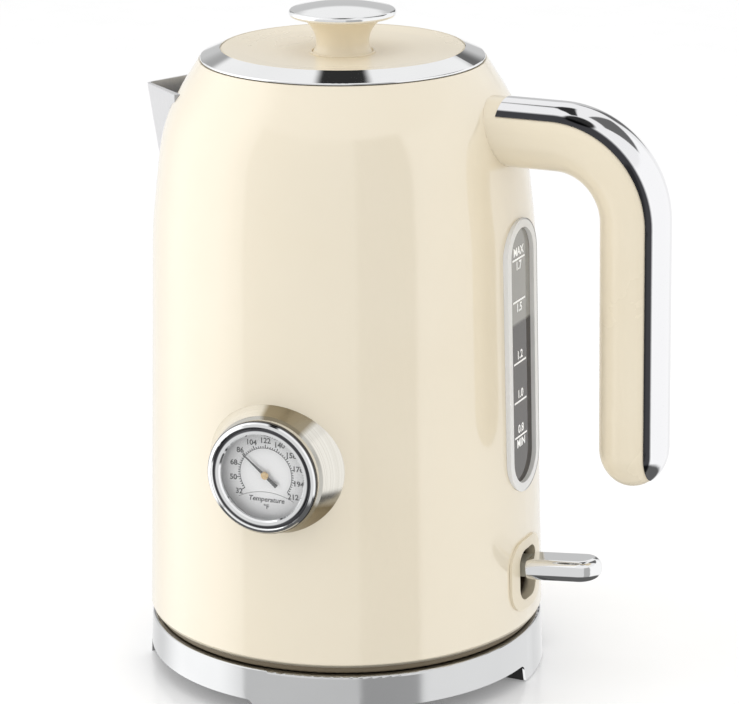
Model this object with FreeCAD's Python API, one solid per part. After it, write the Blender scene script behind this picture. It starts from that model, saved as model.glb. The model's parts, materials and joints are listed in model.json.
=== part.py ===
"""Electric kettle on a powered base, all sizes in millimetres.

Z points up and the origin is the middle of the surface that the base stands on.
The handle, sight window and switch lever are at +X, the spout is at -X and the
thermometer faces close to -Y.
"""
import FreeCAD, Part
import math
import os

V = FreeCAD.Vector
ORIGIN = V(0, 0, 0)
AXIS_X = V(1, 0, 0)
AXIS_Y = V(0, 1, 0)
AXIS_Z = V(0, 0, 1)

# ---------------------------------------------------------------- base sizes
base_height = 19.0          # floor to the top of the chrome skirt
base_top_r = 72.0           # skirt radius at its top edge
base_low_r = 72.9           # skirt radius at its lowest edge
skirt_wall = 1.2
skirt_lip = 3.4             # how far the top lip reaches inwards
foot_drop = 7.1             # height of the gaps between the feet
foot_clear = 0.6            # chrome tabs stop this far above the floor
foot_count = 4
foot_span_deg = 30.0
foot_turn_deg = -77.5       # direction of the first foot's middle
deck_thick = 2.2
pan_thick = 2.5
pan_lift = 0.3              # underside plate above the gaps between the feet
base_screw_circle = 48.0
screw_r = 1.5
screw_head_r = 2.9
cord_turn_deg = 135.0       # direction in which the cord leaves
cord_hole_r = 3.0
gland_r = 4.0

# ---------------------------------------------------------------- body sizes
body_lift = 3.0             # gap between skirt and painted body
body_height = 203.0
body_low_r = 72.4
waist_r = 69.1              # radius where the shoulder begins
shoulder_depth = 79.0       # shoulder begins this far below the neck
neck_r = 51.0
body_wall = 1.0
edge_tuck = 1.3             # rolled lower edge of the body
mouth_r = 45.0              # opening that takes the lid
collar_depth = 13.0
floor_rise = 38.0           # heating plate above the body's lower edge
plate_thick = 1.5
element_r = 34.0
element_wire_r = 3.6

# ---------------------------------------------------------------- connector
connector_r = 17.0
connector_rise = 10.0
contact_radii = (8.8, 13.2)
contact_wall = 0.8
contact_slot_gap = 0.6      # each side of a contact ring
centre_pin_r = 2.4

# ---------------------------------------------------------------- lid sizes
lid_rim_r = 50.5
lid_inner_r = 43.4
lid_rise = 4.0              # inner edge of the rim above the neck
rim_thick = 1.3
dish_depth = 2.0
plug_gap = 1.4              # plug to mouth, filled by the seal
plug_depth = 13.0
knob_neck_r = 9.9
knob_flare_r = 14.9
knob_cap_r = 19.0
knob_height = 13.2          # stem only
cap_edge = 1.6
cap_dome = 2.4

# ---------------------------------------------------------------- spout sizes
spout_reach = 79.7          # tip distance from the kettle's axis
spout_tip_drop = 15.7       # tip below the neck
spout_rise = 4.2            # back corners above the tip
spout_back_x = 50.0
spout_half_width = 33.0
spout_foot_drop = 95.0      # keel's lowest point below the neck
spout_foot_x = 66.6
spout_wall = 1.2
keel_r = 3.0

# ---------------------------------------------------------------- handle sizes
handle_drop = 21.2          # middle of the top run below the neck
handle_reach = 110.9        # middle of the grip from the kettle's axis
handle_bend_r = 28.0
handle_lean_deg = 0.75      # the grip runs slightly outwards as it goes down
handle_length = 122.5       # grip's lower end below the top run's middle
handle_half_depth = 12.0
handle_half_width = 13.6
handle_end_dome = 14.0
trim_line = 7.5             # joint between grip and trim, from the grip's middle
trim_proud = 0.35
trim_start_x = 63.0
handle_screw_gap = 10.0
grip_root_x = 40.0

# ---------------------------------------------------------------- window sizes
window_low_z = 73.3
window_high_z = 173.2
window_half_w = 13.4
pane_half_w = 10.2
window_face = 0.4           # frame face beyond the body's radius at its middle
window_lean_deg = 1.4       # the face leans in towards its top, as the body does
window_sleeve = 1.3
pane_thick = 1.8
pane_inset = 1.6
fit_gap = 0.15              # between a fitted piece and its opening

# ---------------------------------------------------------------- gauge sizes
gauge_turn_deg = -85.8
gauge_z = 93.5
gauge_base_r = 24.0
gauge_front_r = 20.9
gauge_ring_r = 20.2
gauge_view_r = 15.4
gauge_stand = 10.3          # front of the ring beyond the body
ring_depth = 5.6
housing_wall = 1.5
stem_thread_r = 5.0
probe_r = 3.0
probe_length = 26.0
needle_tip = 10.9
needle_tail = 5.6
needle_rest_deg = 140.0     # measured from the right-hand side, as a clock face is seen
shaft_r = 0.6
running_gap = 0.05

# ---------------------------------------------------------------- switch sizes
switch_z = 42.2
switch_open_w = 14.6
switch_open_h = 19.0
switch_open_r = 5.0
bezel_side = 5.6             # border beside the opening
bezel_end = 3.6              # border above and below it
bezel_proud = 0.9
bezel_sleeve = 1.2
pivot_x = 56.0
pivot_z = 43.0
pivot_pin_r = 1.5
lever_tilt_deg = 6.0
lever_reach = 100.6
lever_root_x = 74.5
lever_width = 14.4
lever_thick = 7.6
arm_width = 9.6
arm_thick = 5.4

# ---------------------------------------------------------------- steam tube
steam_turn_deg = 42.0
steam_circle = 57.5
steam_r = 3.6
steam_wall = 0.7
steam_top_drop = 26.0

# ---------------------------------------------------------------- derived
body_z = base_height + body_lift
neck_z = body_z + body_height
shoulder_z = neck_z - shoulder_depth
plate_z = body_z + floor_rise
deck_top = base_height - 0.4
# (share of the shoulder's depth, share of the step from neck to waist radius)
shoulder_shape = ((0.734, 0.956), (0.538, 0.862), (0.278, 0.663), (0.133, 0.365))

os.makedirs("parts", exist_ok=True)


# ================================================================ helpers
def save(name, shape):
    """Write one named piece."""
    shape.exportStep("parts/" + name + ".step")


def rod(r, z0, z1, x=0.0, y=0.0):
    """Upright cylinder."""
    return Part.makeCylinder(r, z1 - z0, V(x, y, z0))


def ring(r_in, r_out, z0, z1, x=0.0, y=0.0):
    """Upright tube."""
    return rod(r_out, z0, z1, x, y).cut(rod(r_in, z0 - 1, z1 + 1, x, y))


def block(x0, x1, y0, y1, z0, z1):
    """Box between two corners."""
    return Part.makeBox(x1 - x0, y1 - y0, z1 - z0, V(x0, y0, z0))


def turned(outline):
    """Solid turned about Z from (radius, height) points."""
    points = [V(r, 0, z) for r, z in outline]
    face = Part.Face(Part.makePolygon(points + points[:1]))
    return face.revolve(ORIGIN, AXIS_Z, 360)


def turned_out(outline, z):
    """Solid turned about the outward X line at height z, from (distance, radius) points."""
    points = [V(x, 0, z + r) for x, r in outline]
    face = Part.Face(Part.makePolygon(points + points[:1]))
    return face.revolve(V(0, 0, z), AXIS_X, 360)


def facing(shape, degrees):
    """Turn a piece built towards +X to another direction."""
    return shape.rotated(ORIGIN, AXIS_Z, degrees)


def rounded_plate(half_w, z0, z1, corner_r, x0, x1):
    """Rounded rectangle facing +X, extruded from x0 to x1."""
    plate = block(x0, x1, -half_w, half_w, z0, z1)
    corners = [e for e in plate.Edges if abs(e.tangentAt(e.FirstParameter).x) > 0.99]
    return plate.makeFillet(corner_r, corners)


def obround(half_w, z0, z1, x0, x1):
    """Slot-shaped plate with round ends, facing +X."""
    low = Part.makeCylinder(half_w, x1 - x0, V(x0, 0, z0 + half_w), AXIS_X)
    high = Part.makeCylinder(half_w, x1 - x0, V(x0, 0, z1 - half_w), AXIS_X)
    middle = block(x0, x1, -half_w, half_w, z0 + half_w, z1 - half_w)
    return low.fuse(middle).fuse(high).removeSplitter()


def around(count, radius, start_deg=0.0):
    """(x, y) of points spread evenly on a circle."""
    spots = []
    for i in range(count):
        a = math.radians(start_deg + 360.0 * i / count)
        spots.append((radius * math.cos(a), radius * math.sin(a)))
    return spots


def group(shapes):
    """Several separate solids of one kind as one piece."""
    return Part.makeCompound(shapes)


def filleted(shape, r, chosen):
    """Round the edges that a test picks."""
    return shape.makeFillet(r, [e for e in shape.Edges if chosen(e)])


def level_circle(z, r):
    """Test for a full circle about Z at one height and radius."""
    def test(edge):
        curve = edge.Curve
        return (isinstance(curve, Part.Circle) and abs(curve.Center.z - z) < 0.01
                and abs(curve.Radius - r) < 0.01)
    return test


# ================================================================ body profile
def shoulder_curve(inset):
    """Smooth line from the waist up to the neck."""
    points = [V(waist_r - inset, 0, shoulder_z)]
    for depth_share, step_share in shoulder_shape:
        r = neck_r + (waist_r - neck_r) * step_share - inset
        points.append(V(r, 0, neck_z - shoulder_depth * depth_share))
    points.append(V(neck_r - inset, 0, neck_z))
    curve = Part.BSplineCurve()
    taper = V(waist_r - body_low_r, 0, shoulder_z - body_z).normalize()
    curve.interpolate(Points=points, InitialTangent=taper, FinalTangent=V(-0.52, 0, 0.85))
    return curve


def body_radius(z):
    """Outer radius of the body at a height."""
    if z <= shoulder_z:
        share = (z - body_z) / (shoulder_z - body_z)
        return body_low_r + (waist_r - body_low_r) * share
    curve = shoulder_curve(0.0)
    low, high = curve.FirstParameter, curve.LastParameter
    for _ in range(40):
        middle = (low + high) / 2
        if curve.value(middle).z < z:
            low = middle
        else:
            high = middle
    return curve.value(low).x


def body_solid(inset):
    """Solid of the body's outline, shrunk sideways by inset."""
    low_r = body_low_r - inset
    corners = [V(0, 0, neck_z), V(0, 0, body_z), V(low_r - edge_tuck, 0, body_z),
               V(low_r, 0, body_z + 1.6), V(waist_r - inset, 0, shoulder_z)]
    edges = [Part.LineSegment(a, b).toShape() for a, b in zip(corners, corners[1:])]
    edges.append(shoulder_curve(inset).toShape())
    edges.append(Part.LineSegment(V(neck_r - inset, 0, neck_z), V(0, 0, neck_z)).toShape())
    return Part.Face(Part.Wire(edges)).revolve(ORIGIN, AXIS_Z, 360)


OUTSIDE = body_solid(0.0)
INSIDE = body_solid(body_wall)


# ================================================================ powered base
def skirt_outline(z):
    """Outer radius of the flared skirt at a height."""
    return base_low_r + (base_top_r - base_low_r) * z / base_height


def foot_sector(r_in, r_out, z0, z1, middle_deg, span_deg):
    """Arc-shaped block centred on one direction."""
    face = Part.Face(Part.makePolygon([V(r_in, 0, z0), V(r_out, 0, z0), V(r_out, 0, z1),
                                       V(r_in, 0, z1), V(r_in, 0, z0)]))
    return facing(face.revolve(ORIGIN, AXIS_Z, span_deg), middle_deg - span_deg / 2)


foot_dirs = [foot_turn_deg + 360.0 * i / foot_count for i in range(foot_count)]
gap_span_deg = 360.0 / foot_count - foot_span_deg
lip_r = base_top_r - skirt_lip
pan_low = foot_drop + pan_lift
pan_top = pan_low + pan_thick
gland_z = (pan_top + deck_top - deck_thick) / 2 - 1.0


def foot_gap(middle_deg):
    """Opening between two feet, with sloping ends and rounded top corners."""
    half = math.radians(gap_span_deg / 2)
    top_w = base_low_r * math.sin(half)
    low_w = top_w + 1.5
    points = [V(0, -low_w, -2), V(0, low_w, -2), V(0, top_w, foot_drop), V(0, -top_w, foot_drop)]
    face = Part.Face(Part.makePolygon(points + points[:1]))
    gap = face.extrude(V(base_low_r + 10, 0, 0))
    gap = filleted(gap, 2.5, lambda e: abs(e.CenterOfMass.z - foot_drop) < 0.01
                   and abs(e.CenterOfMass.y) > 1)
    return facing(gap, middle_deg)


def make_base_skirt():
    """Chrome skirt with an inward lip and four wide feet."""
    low_in = skirt_outline(foot_clear) - skirt_wall
    skirt = turned([(skirt_outline(foot_clear), foot_clear), (base_top_r, base_height),
                    (lip_r, base_height), (lip_r, base_height - skirt_wall),
                    (base_top_r - skirt_wall, base_height - skirt_wall), (low_in, foot_clear)])
    skirt = filleted(skirt, 1.1, level_circle(base_height, base_top_r))
    for direction in foot_dirs:
        skirt = skirt.cut(foot_gap(direction + 180.0 / foot_count))
    hole = Part.makeCylinder(gland_r + fit_gap, 30, V(50, 0, gland_z), AXIS_X)
    return skirt.cut(facing(hole, cord_turn_deg))


def make_base_deck():
    """Black top plate, clipped under the skirt's lip, with screw posts below."""
    low = deck_top - deck_thick
    deck = rod(lip_r - fit_gap, low, deck_top)
    deck = deck.fuse(rod(lip_r + 1.2, low, base_height - skirt_wall - 0.1))
    deck = deck.cut(rod(connector_r + fit_gap, low - 1, deck_top + 1))
    for x, y in around(3, base_screw_circle, 30):
        deck = deck.fuse(rod(3.6, pan_top + fit_gap, low, x, y))
        deck = deck.cut(rod(screw_r, pan_low, deck_top - 0.8, x, y))
    return deck


def make_base_pan():
    """Black underside plate that carries the rubber pads."""
    r = skirt_outline(pan_low) - skirt_wall - 0.3
    pan = rod(r, pan_low, pan_top)
    pan = pan.fuse(ring(r - 3.0, r - 1.4, pan_top, pan_top + 2.0))
    relief = block(r - 10, r + 2, -gland_r - 0.5, gland_r + 0.5, pan_low - 1, pan_top + 3)
    pan = pan.cut(facing(relief, cord_turn_deg))
    for x, y in around(3, base_screw_circle, 30):
        pan = pan.cut(rod(screw_r + 0.1, pan_low - 1, pan_top + 1, x, y))
        pan = pan.cut(rod(screw_head_r + 0.3, pan_low - 1, pan_low + 1.2, x, y))
    for x, y in clamp_spots()[1]:
        pan = pan.cut(facing(rod(screw_r, pan_low - 1, pan_top + 1, x, y), cord_turn_deg))
    return pan


def make_base_feet():
    """Rubber pads behind the chrome tabs; they stand on the floor."""
    r_out = skirt_outline(0) - skirt_wall - 0.4
    return group([foot_sector(r_out - 9, r_out, 0, pan_low, d, foot_span_deg - 4)
                  for d in foot_dirs])


def make_base_connector():
    """Round black connector with ring slots; the kettle can face any way on it."""
    top = deck_top + connector_rise
    boss = rod(connector_r, deck_top - deck_thick, top)
    boss = filleted(boss, 1.5, level_circle(top, connector_r))
    boss = boss.fuse(rod(connector_r + 4, deck_top - deck_thick - 1.8, deck_top - deck_thick))
    for r in contact_radii:
        gap = contact_wall / 2 + contact_slot_gap
        boss = boss.cut(ring(r - gap, r + gap, deck_top + 0.5, top + 1))
    return boss.cut(rod(centre_pin_r + contact_slot_gap, deck_top + 0.5, top + 1))


def make_connector_contacts():
    """Sprung contacts at the bottom of the slots."""
    low = deck_top + 0.5
    pads = [ring(r - 0.7, r + 0.7, low, low + 0.9) for r in contact_radii]
    pads.append(rod(centre_pin_r, low, low + 0.9))
    return group(pads)


def pan_screw(x, y, head_z, tip_z):
    """Screw pushed in from below."""
    screw = rod(screw_head_r, head_z, head_z + 1.6, x, y)
    screw = screw.fuse(rod(screw_r - running_gap, head_z + 1.6, tip_z, x, y))
    slot = block(x - 0.4, x + 0.4, y - 2, y + 2, head_z - 1, head_z + 0.7)
    return screw.cut(slot)


def make_base_screws():
    """Three screws that join pan and deck."""
    return group([pan_screw(x, y, pan_low - 0.4, deck_top - 2.5)
                  for x, y in around(3, base_screw_circle, 30)])


def make_cord_gland():
    """Collar through the skirt that the power cord would leave by."""
    wall_x = skirt_outline(gland_z)
    gland = Part.makeCylinder(gland_r, 8, V(wall_x - 4, 0, gland_z), AXIS_X)
    flange = Part.makeCylinder(gland_r + 0.9, 1.6, V(wall_x + 0.5, 0, gland_z), AXIS_X)
    bore = Part.makeCylinder(cord_hole_r, 20, V(wall_x - 9, 0, gland_z), AXIS_X)
    return facing(gland.fuse(flange).cut(bore), cord_turn_deg)


def clamp_spots():
    """Distance of the clamp from the axis, and its two screws beside the cord."""
    middle_x = skirt_outline(gland_z) - 15
    return middle_x, ((middle_x, -7.0), (middle_x, 7.0))


clamp_top = gland_z + cord_hole_r + 0.6
wing_top = gland_z + 1.0


def make_cord_clamp():
    """Saddle that grips the cord inside the base."""
    middle_x, spots = clamp_spots()
    saddle = block(middle_x - 3.5, middle_x + 3.5, -10, 10, pan_top, wing_top)
    arch = cord_hole_r + 0.8
    saddle = saddle.fuse(block(middle_x - 3.5, middle_x + 3.5, -arch, arch, wing_top, clamp_top))
    saddle = saddle.cut(Part.makeCylinder(cord_hole_r, 20, V(middle_x - 10, 0, gland_z), AXIS_X))
    for x, y in spots:
        saddle = saddle.cut(rod(screw_r + 0.1, pan_low, base_height, x, y))
    return facing(saddle, cord_turn_deg)


def make_clamp_screws():
    """Two screws of the cord clamp."""
    screws = []
    for x, y in clamp_spots()[1]:
        head = rod(screw_head_r, wing_top, wing_top + 1.2, x, y)
        screws.append(head.fuse(rod(screw_r - running_gap, pan_low + 0.2, wing_top, x, y)))
    return facing(group(screws), cord_turn_deg)


# ================================================================ kettle body
def switch_hole(side, end, x0, x1):
    """Rounded opening for the lever, grown sideways and at its ends."""
    half_h = switch_open_h / 2 + end
    return rounded_plate(switch_open_w / 2 + side, switch_z - half_h, switch_z + half_h,
                         switch_open_r + min(side, end), x0, x1)


def window_hole(half_w, x0, x1):
    """Obround that shares the window's centre lines."""
    inset = window_half_w - half_w
    hole = obround(half_w, window_low_z + inset, window_high_z - inset, x0, x1)
    return hole.rotated(V(window_face_x, 0, window_mid_z), AXIS_Y, -window_lean_deg)


def spout_wedge(inset, extra_top):
    """Pyramid-shaped body of the spout; inset moves its walls inwards."""
    tip = V(-spout_reach, 0, neck_z - spout_tip_drop)
    foot = V(-spout_foot_x, 0, neck_z - spout_foot_drop)
    half_angle = math.atan2(spout_half_width, spout_reach - spout_back_x)
    shift = V(inset / math.sin(half_angle), 0, 0)
    slope = spout_rise / (spout_reach - spout_back_x)

    def corner(x, side):
        y = side * (spout_half_width - inset)
        return V(x, y, tip.z + slope * (x + spout_reach))

    root_x = -(neck_r - 12)
    outline = [tip, corner(-spout_back_x, -1), corner(root_x, -1), corner(root_x, 1),
               corner(-spout_back_x, 1)]
    top = [foot + shift + (p - foot) * (1 + extra_top) for p in outline]
    low = [foot + shift + (p - foot) * 0.06 for p in outline]
    faces = [low[::-1], top]
    for i in range(len(top)):
        j = (i + 1) % len(top)
        faces.append([low[i], low[j], top[j], top[i]])
    wedge = Part.Solid(Part.Shell([Part.Face(Part.makePolygon(ps + ps[:1])) for ps in faces]))
    radius = max(keel_r - inset, 0.8)
    return filleted(wedge, radius, lambda e: abs(e.CenterOfMass.y) < 0.01
                    and abs(e.tangentAt(e.FirstParameter).y) < 0.01)


SPOUT_OUTER = spout_wedge(0.0, 0.0)
SPOUT_INNER = spout_wedge(spout_wall, 0.05)

gauge_surface = body_radius(gauge_z)
window_mid_z = (window_low_z + window_high_z) / 2
window_face_x = body_radius(window_mid_z) + window_face
handle_z = neck_z - handle_drop
handle_screw_z = (handle_z - handle_screw_gap / 2, handle_z + handle_screw_gap / 2)


def make_body_shell():
    """Painted steel vessel, open below, with all its openings."""
    shell = OUTSIDE.cut(INSIDE)
    shell = shell.fuse(turned([(mouth_r, neck_z - collar_depth), (mouth_r + body_wall, neck_z - collar_depth),
                               (mouth_r + body_wall, neck_z - body_wall), (neck_r - 0.2, neck_z - body_wall),
                               (neck_r - 0.2, neck_z), (mouth_r, neck_z)]))
    shell = shell.cut(SPOUT_INNER.common(rod(200, 0, neck_z - spout_tip_drop + spout_rise - 3)))
    shell = shell.cut(window_hole(pane_half_w + window_sleeve + fit_gap, 50, 90))
    shell = shell.cut(switch_hole(bezel_sleeve + fit_gap, bezel_sleeve + fit_gap, 50, 90))
    gauge_hole = Part.makeCylinder(stem_thread_r + fit_gap, 40, V(50, 0, gauge_z), AXIS_X)
    shell = shell.cut(facing(gauge_hole, gauge_turn_deg))
    for z in handle_screw_z:
        shell = shell.cut(Part.makeCylinder(screw_r + 0.3, 30, V(50, 0, z), AXIS_X))
    return shell.removeSplitter()


def inner_disc(z0, z1, gap):
    """Disc that fills the vessel between two heights, less a gap at its edge."""
    return body_solid(body_wall + gap).common(rod(200, z0, z1))


def steam_spot():
    """Place of the steam tube."""
    a = math.radians(steam_turn_deg)
    return steam_circle * math.cos(a), steam_circle * math.sin(a)


def make_heating_plate():
    """Steel floor of the water space, with an upturned edge."""
    plate = inner_disc(plate_z - plate_thick, plate_z, 0.0)
    edge = inner_disc(plate_z - plate_thick, plate_z + 4, 0.0)
    edge = edge.cut(body_solid(body_wall + plate_thick))
    x, y = steam_spot()
    return plate.fuse(edge).cut(rod(steam_r + 2.0, 0, neck_z, x, y)).removeSplitter()


def make_heat_spreader():
    """Aluminium disc under the plate."""
    low = plate_z - plate_thick - 2.5
    return rod(element_r + 9, low, plate_z - plate_thick)


def make_heating_element():
    """Sheathed heating wire bent into a ring, with two terminals."""
    z = plate_z - plate_thick - 2.5 - element_wire_r
    profile = Part.Face(Part.Wire(Part.makeCircle(element_wire_r, V(element_r, 0, z), AXIS_Y)))
    loop = facing(profile.revolve(ORIGIN, AXIS_Z, 310), 25)
    ends = []
    for degrees in (25, 335):
        x, y = around(1, element_r, degrees)[0]
        ends.append(rod(element_wire_r - 1.6, z - 9, z, x, y))
    return loop.fuse(ends[0]).fuse(ends[1])


post_r = 4.0
post_circle = 60.0
cover_low = base_height + 0.3


def make_heater_posts():
    """Three threaded posts welded under the heating plate."""
    posts = []
    for x, y in around(3, post_circle, 75):
        post = rod(post_r, cover_low + 4.2, plate_z - plate_thick, x, y)
        posts.append(post.cut(rod(screw_r, cover_low, cover_low + 22, x, y)))
    return group(posts)


control_r = 25.0
control_top = plate_z - plate_thick - 2.5 - 2 * element_wire_r - 0.4
socket_top = deck_top + connector_rise + 1.2
socket_r = connector_r + 1.2


def make_control_unit():
    """Thermostat housing with a round socket below."""
    unit = rod(control_r, cover_low + 2.3, control_top)
    unit = unit.cut(rod(socket_r, 0, socket_top))
    for x, y in around(2, control_r - 5, 90):
        unit = unit.cut(rod(2.0, control_top - 3, control_top + 1, x, y))
    return unit


def make_connector_rings():
    """Brass rings and centre pin that reach into the base connector."""
    low = deck_top + 2.2
    rings = [ring(r - contact_wall / 2, r + contact_wall / 2, low, socket_top)
             for r in contact_radii]
    rings.append(rod(centre_pin_r, low, socket_top))
    return group(rings)


def make_bottom_cover():
    """Black underside of the kettle."""
    r = body_low_r - body_wall - edge_tuck - fit_gap
    cover = rod(r, cover_low, cover_low + 2.0)
    cover = cover.fuse(ring(r - 1.8, r, cover_low + 2.0, cover_low + 9.0))
    cover = filleted(cover, 0.8, level_circle(cover_low, r))
    cover = cover.cut(rod(socket_r, 0, base_height + 10))
    for x, y in around(3, post_circle, 75):
        cover = cover.fuse(rod(post_r + 0.6, cover_low + 2.0, cover_low + 4.0, x, y))
        cover = cover.cut(rod(screw_r + 0.1, 0, cover_low + 5, x, y))
        cover = cover.cut(rod(screw_head_r + 0.3, 0, cover_low + 2.0, x, y))
    return cover


def make_bottom_screws():
    """Three screws that hold the bottom cover."""
    return group([pan_screw(x, y, cover_low + 0.4, cover_low + 15)
                  for x, y in around(3, post_circle, 75)])


def make_spout():
    """Brushed-steel V spout, welded over the opening in the body."""
    return SPOUT_OUTER.cut(SPOUT_INNER).cut(OUTSIDE)


filter_x = -56.5
filter_half_w = 20.0
filter_low = neck_z - 62.0
filter_high = neck_z - 24.0


def make_spout_filter():
    """Perforated plate inside the spout opening, with a rim all round."""
    plate = block(filter_x, filter_x + 1.0, -filter_half_w, filter_half_w, filter_low, filter_high)
    rim = block(filter_x, filter_x + 2.6, -filter_half_w, filter_half_w, filter_low, filter_high)
    rim = rim.cut(block(filter_x - 1, filter_x + 4, -filter_half_w + 2.5, filter_half_w - 2.5,
                        filter_low + 2.5, filter_high - 2.5))
    holes = []
    for row in range(7):
        for column in range(8):
            y = (column - 3.5) * 4.0
            z = filter_low + 6.0 + row * 4.3
            holes.append(Part.makeCylinder(1.1, 4, V(filter_x - 1, y, z), AXIS_X))
    return plate.cut(group(holes)).fuse(rim).removeSplitter()


# ================================================================ handle
bend_x = handle_reach - handle_bend_r
bend_z = handle_z - handle_bend_r


def on_bend(degrees, radius):
    """Point on a circle about the bend's centre; 0 is outwards and 90 is up."""
    a = math.radians(degrees)
    return V(bend_x + radius * math.cos(a), 0, bend_z + radius * math.sin(a))


def handle_path():
    """Middle line of the handle: out from the body, round and down."""
    start = V(grip_root_x, 0, handle_z)
    top = on_bend(90, handle_bend_r)
    side = on_bend(handle_lean_deg, handle_bend_r)
    down = side.z - (handle_z - handle_length + handle_end_dome)
    end = side + V(down * math.tan(math.radians(handle_lean_deg)), 0, -down)
    return Part.Wire([Part.LineSegment(start, top).toShape(),
                      Part.Arc(top, on_bend(45, handle_bend_r), side).toShape(),
                      Part.LineSegment(side, end).toShape()]), end


def handle_form(grow):
    """Oval bar along the path with a domed lower end."""
    path, end = handle_path()
    depth = handle_half_depth + grow
    width = handle_half_width + grow
    oval = Part.Ellipse(V(grip_root_x, width, handle_z), V(grip_root_x, 0, handle_z + depth),
                        V(grip_root_x, 0, handle_z))
    bar = path.makePipeShell([Part.Wire(oval.toShape())], True, False)
    stretch = FreeCAD.Matrix()
    stretch.scale(depth, width, handle_end_dome + grow)
    dome = Part.makeSphere(1.0).transformGeometry(stretch)
    dome = dome.common(block(-40, 40, -40, 40, -40, 0))
    dome.rotate(ORIGIN, AXIS_Y, -handle_lean_deg)
    dome.translate(end)
    return bar.fuse(dome)


def trim_zone():
    """Space on the outer side of the joint line between grip and trim."""
    reach = 60.0
    side = block(handle_reach + trim_line, handle_reach + reach, -40, 40, 0, bend_z)
    side = side.rotated(V(bend_x, 0, bend_z), AXIS_Y, -handle_lean_deg)
    top = block(trim_start_x, bend_x, -40, 40, handle_z + trim_line, handle_z + reach)
    corner = block(bend_x, handle_reach + reach, -40, 40, bend_z - 3, handle_z + reach)
    corner = corner.cut(Part.makeCylinder(handle_bend_r + trim_line, 80, V(bend_x, -40, bend_z), AXIS_Y))
    below = block(bend_x, handle_reach + trim_line + 0.5, -40, 40, bend_z - 4, bend_z)
    return side.fuse(top).fuse(corner.cut(below)).removeSplitter()


TRIM_ZONE = trim_zone()


def make_handle_grip():
    """Cream grip, cut to sit on the body, with threaded holes at its root."""
    grip = handle_form(0.0).cut(TRIM_ZONE).cut(OUTSIDE)
    for z in handle_screw_z:
        grip = grip.cut(Part.makeCylinder(screw_r, 40, V(40, 0, z), AXIS_X))
    return grip


def make_handle_trim():
    """Chrome strip along the outer side of the handle."""
    return handle_form(trim_proud).common(TRIM_ZONE).cut(body_solid(-2.0))


def make_handle_screws():
    """Two screws from inside the vessel into the handle's root."""
    screws = []
    for z in handle_screw_z:
        wall_x = body_radius(z + screw_head_r) - body_wall
        head = Part.makeCylinder(screw_head_r, 1.8, V(wall_x - 1.9, 0, z), AXIS_X)
        shank = Part.makeCylinder(screw_r - running_gap, 16, V(wall_x - 0.5, 0, z), AXIS_X)
        screws.append(head.fuse(shank))
    return group(screws)


# ================================================================ sight window
pane_front_x = window_face_x - pane_inset
clamp_x = window_face_x - 8.6


def make_window_frame():
    """Clear frame with a flat face and a sleeve through the wall."""
    flange = window_hole(window_half_w, clamp_x, window_face_x).cut(OUTSIDE)
    sleeve = window_hole(pane_half_w + window_sleeve, clamp_x, window_face_x)
    frame = flange.fuse(sleeve)
    frame = frame.cut(window_hole(pane_half_w, pane_front_x - pane_thick, 90))
    frame = frame.cut(window_hole(pane_half_w - 1.2, 50, 90))
    return frame.removeSplitter()


def make_window_pane():
    """Clear pane that rests on the frame's inner ledge."""
    return window_hole(pane_half_w - 0.05, pane_front_x - pane_thick, pane_front_x)


def make_window_gasket():
    """Soft ring between the clamp and the inside of the wall."""
    outer = window_hole(window_half_w + 1.5, clamp_x, 90)
    gasket = outer.cut(window_hole(pane_half_w + window_sleeve + fit_gap, 50, 95))
    return gasket.common(body_solid(body_wall + 0.05))


def make_window_clamp():
    """Inner ring that draws the frame against the gasket."""
    outer = window_hole(window_half_w + 1.5, clamp_x - 2.0, clamp_x)
    return outer.cut(window_hole(pane_half_w - 1.2, 40, 90))


# ================================================================ thermometer
gauge_tip_x = gauge_surface + gauge_stand
ring_back_x = gauge_tip_x - ring_depth
dial_x = ring_back_x + 0.6
needle_x = dial_x + 0.9
lens_x = needle_x + 1.0


def make_gauge_housing():
    """Brushed cone that stands on the body; its front holds the movement."""
    start = gauge_surface - 8.0
    slope = (gauge_base_r - gauge_front_r) / (gauge_stand - ring_depth + 2.0)
    base_r = gauge_front_r + slope * (ring_back_x - start)
    cone = turned_out([(start, 0), (start, base_r), (ring_back_x, gauge_front_r),
                       (ring_back_x, 0)], gauge_z)
    hollow = turned_out([(start, 0), (start, base_r - housing_wall),
                         (ring_back_x - 4.4, gauge_front_r + slope * 4.4 - housing_wall),
                         (ring_back_x - 4.4, 0)], gauge_z)
    pocket = turned_out([(ring_back_x - 2.4, 0), (ring_back_x - 2.4, gauge_view_r + 1.4),
                         (ring_back_x + 1, gauge_view_r + 1.4), (ring_back_x + 1, 0)], gauge_z)
    bore = turned_out([(start, 0), (start, stem_thread_r + fit_gap),
                       (ring_back_x, stem_thread_r + fit_gap), (ring_back_x, 0)], gauge_z)
    return facing(cone.cut(hollow).cut(pocket).cut(bore).cut(OUTSIDE), gauge_turn_deg)


def make_gauge_ring():
    """Chrome ring in two steps that holds the glass."""
    inner = gauge_view_r + 1.3
    step_r = gauge_view_r + 2.6
    front = gauge_tip_x
    profile = [(ring_back_x, inner), (ring_back_x, gauge_ring_r), (front - 1.3, gauge_ring_r),
               (front - 0.4, gauge_ring_r - 0.7), (front, gauge_ring_r - 1.6),
               (front - 0.2, step_r + 0.6), (front - 0.9, step_r), (front - 0.5, step_r - 0.7),
               (front - 0.6, gauge_view_r + 0.5), (front - 1.2, gauge_view_r),
               (lens_x + 0.75, gauge_view_r), (lens_x + 0.75, inner)]
    return facing(turned_out(profile, gauge_z), gauge_turn_deg)


def make_gauge_dial():
    """Printed disc with a hole for the needle's shaft."""
    r = gauge_view_r + 1.2
    disc = turned_out([(dial_x - 0.5, shaft_r + 0.2), (dial_x - 0.5, r), (dial_x, r),
                       (dial_x, shaft_r + 0.2)], gauge_z)
    return facing(disc, gauge_turn_deg)


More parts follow.
